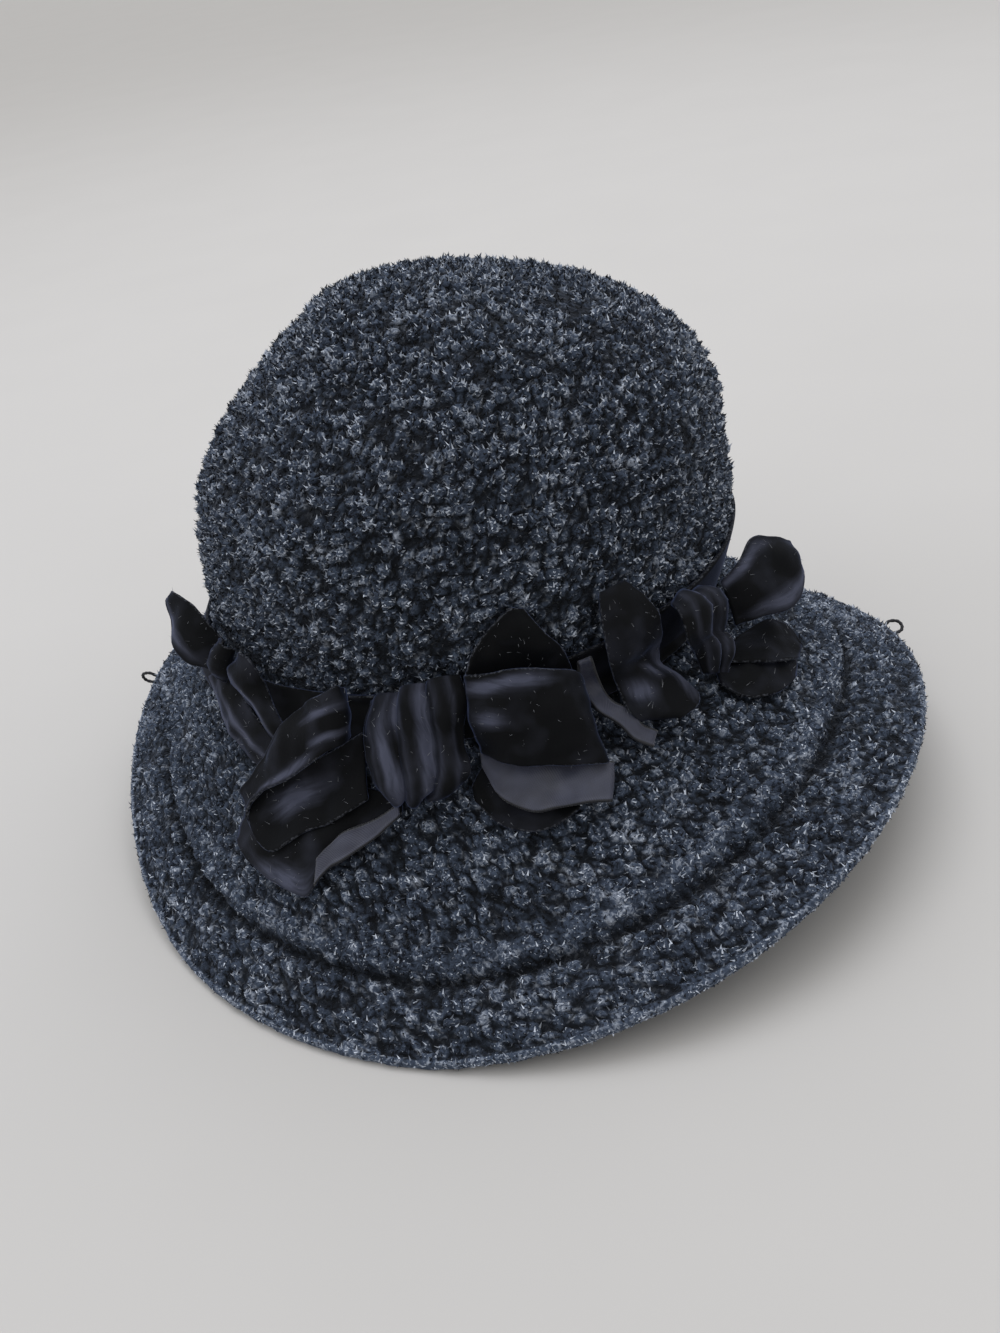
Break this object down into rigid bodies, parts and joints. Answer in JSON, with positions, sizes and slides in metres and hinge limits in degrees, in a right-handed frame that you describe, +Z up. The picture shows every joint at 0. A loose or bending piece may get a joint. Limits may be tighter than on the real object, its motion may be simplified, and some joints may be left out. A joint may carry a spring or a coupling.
{
  "type": "cloche hat",
  "caption": "Soft cloche hat of thick heather yarn with a domed crown, a wide drooping brim and black velvet ribbon tied in bows round the crown.",
  "frame": {"origin": "middle of the hat's bounding box on the plane that its brim rests on", "axes": "+Z up through the crown, -Y toward the front with the ribbon bows, +X to the wearer's left as seen from the front"},
  "size_m": [0.3151, 0.3545, 0.1903],
  "materials": {
    "yarn": "thick nubby yarn in black, charcoal and pale flecks",
    "velvet": "black velvet ribbon, pale sheen on its folds",
    "satin": "grey satin back of the velvet ribbon",
    "cord": "thin black cord"
  },
  "bodies": {
    "root": {"crown": "yarn", "brim": "yarn", "ribbon_band": "velvet", "left_bow_loop": "velvet", "left_bow_knot": "velvet", "left_swag_upper": "velvet", "left_swag_lower": "velvet", "front_bow_left_loop": "velvet", "front_bow_left_tail": "velvet", "front_bow_turned_edge": "satin", "front_bow_knot": "velvet", "front_bow_peak": "velvet", "front_bow_right_loop": "velvet", "front_bow_right_tail": "satin", "front_bow_under_tail": "velvet", "front_bow_satin_fold": "satin", "right_bow_inner_loop": "velvet", "right_bow_knot": "velvet", "right_bow_upper_loop": "velvet", "right_bow_lower_loop": "velvet", "right_bow_lower_tail": "velvet", "edge_loop_left": "cord", "edge_loop_right": "cord"}
  },
  "joints": []
}
